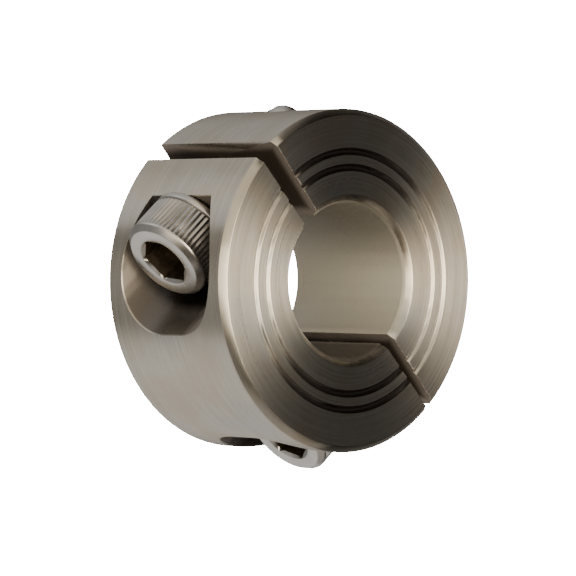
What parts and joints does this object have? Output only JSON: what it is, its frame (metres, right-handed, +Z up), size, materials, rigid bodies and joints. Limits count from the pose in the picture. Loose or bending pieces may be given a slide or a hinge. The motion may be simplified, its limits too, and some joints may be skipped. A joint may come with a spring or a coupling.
{
  "type": "two-piece clamp shaft collar",
  "caption": "Two-piece stainless clamp shaft collar with twin grooved face; cap screws draw the half rings together so that they grip a shaft.",
  "frame": {"origin": "on the bore axis, half way through the collar", "axes": "+Y along the bore, away from the grooved face; +Z up and +X right as the grooved face is looked at; the saw cut slopes down from upper left to lower right"},
  "size_m": [0.0192, 0.0088, 0.0189],
  "materials": {
    "screw_half": "turned stainless steel",
    "tapped_half": "turned stainless steel",
    "upper_screw": "knurled stainless steel",
    "lower_screw": "knurled stainless steel"
  },
  "bodies": {
    "screw_half": {"screw_half": "screw_half"},
    "tapped_half": {"tapped_half": "tapped_half"},
    "upper_screw": {"upper_screw": "upper_screw"},
    "lower_screw": {"lower_screw": "lower_screw"}
  },
  "joints": [
    {"name": "halves_gap", "type": "slide", "parent": "screw_half", "child": "tapped_half", "axis": [0.7559, 0, 0.6547], "range_m": [-0.00047, 0.0049]},
    {"name": "upper_screw_turn", "type": "hinge", "parent": "screw_half", "child": "upper_screw", "pos_m": [-0.00636, 0.00035, 0.00263], "axis": [-0.7559, 0, -0.6547], "range_deg": [-270, 2780]},
    {"name": "lower_screw_turn", "type": "hinge", "parent": "screw_half", "child": "lower_screw", "pos_m": [0.00208, 0.00035, -0.00633], "axis": [-0.7559, 0, -0.6547], "range_deg": [-270, 2780]}
  ],
  "couplings": [
    {"joint": "upper_screw_turn", "follows": "halves_gap", "rad_per_m": 9894.8},
    {"joint": "lower_screw_turn", "follows": "halves_gap", "rad_per_m": 9894.8}
  ]
}
